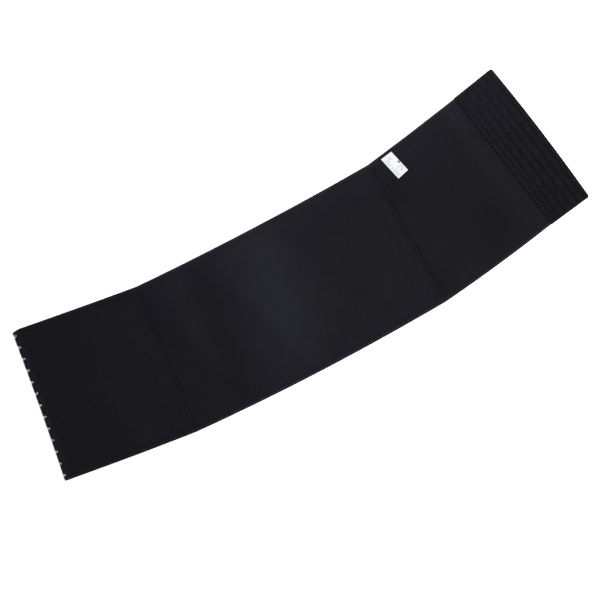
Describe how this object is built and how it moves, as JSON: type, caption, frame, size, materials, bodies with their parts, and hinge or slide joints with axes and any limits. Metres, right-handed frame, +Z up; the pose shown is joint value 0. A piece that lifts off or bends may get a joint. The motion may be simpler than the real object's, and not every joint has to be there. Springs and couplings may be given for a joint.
{
  "type": "neoprene slimming belt",
  "caption": "Curved neoprene waist belt laid flat, inner face up, with bound edges, a hook tape at one end, a ridged eye tape at the other and a care label.",
  "frame": {"origin": "middle of the belt's bounding box, on the surface that it lies on", "axes": "+X from the hook end to the eye end, +Y to the upper edge that carries the label, +Z up out of the inner face"},
  "size_m": [0.9222, 0.2848, 0.0101],
  "materials": {
    "neoprene": "black neoprene laminated with a fine matt knit",
    "binding_cloth": "black folded knit binding with zigzag stitching",
    "tape_cloth": "black brushed tape, double stitched",
    "label_cloth": "white satin label, left without lettering",
    "steel_wire": "bright plated steel wire"
  },
  "bodies": {
    "root": {"hook_side_panel": "neoprene", "middle_panel": "neoprene", "eye_side_panel": "neoprene", "upper_binding": "binding_cloth", "lower_binding": "binding_cloth", "hook_tape": "tape_cloth", "eye_tape": "tape_cloth", "care_label": "label_cloth", "hook_01": "steel_wire", "hook_02": "steel_wire", "hook_03": "steel_wire", "hook_04": "steel_wire", "hook_05": "steel_wire", "hook_06": "steel_wire", "hook_07": "steel_wire", "hook_08": "steel_wire", "hook_09": "steel_wire", "hook_10": "steel_wire", "hook_11": "steel_wire", "hook_12": "steel_wire", "hook_13": "steel_wire", "eye_row_1": "steel_wire", "eye_row_2": "steel_wire", "eye_row_3": "steel_wire"}
  },
  "joints": []
}
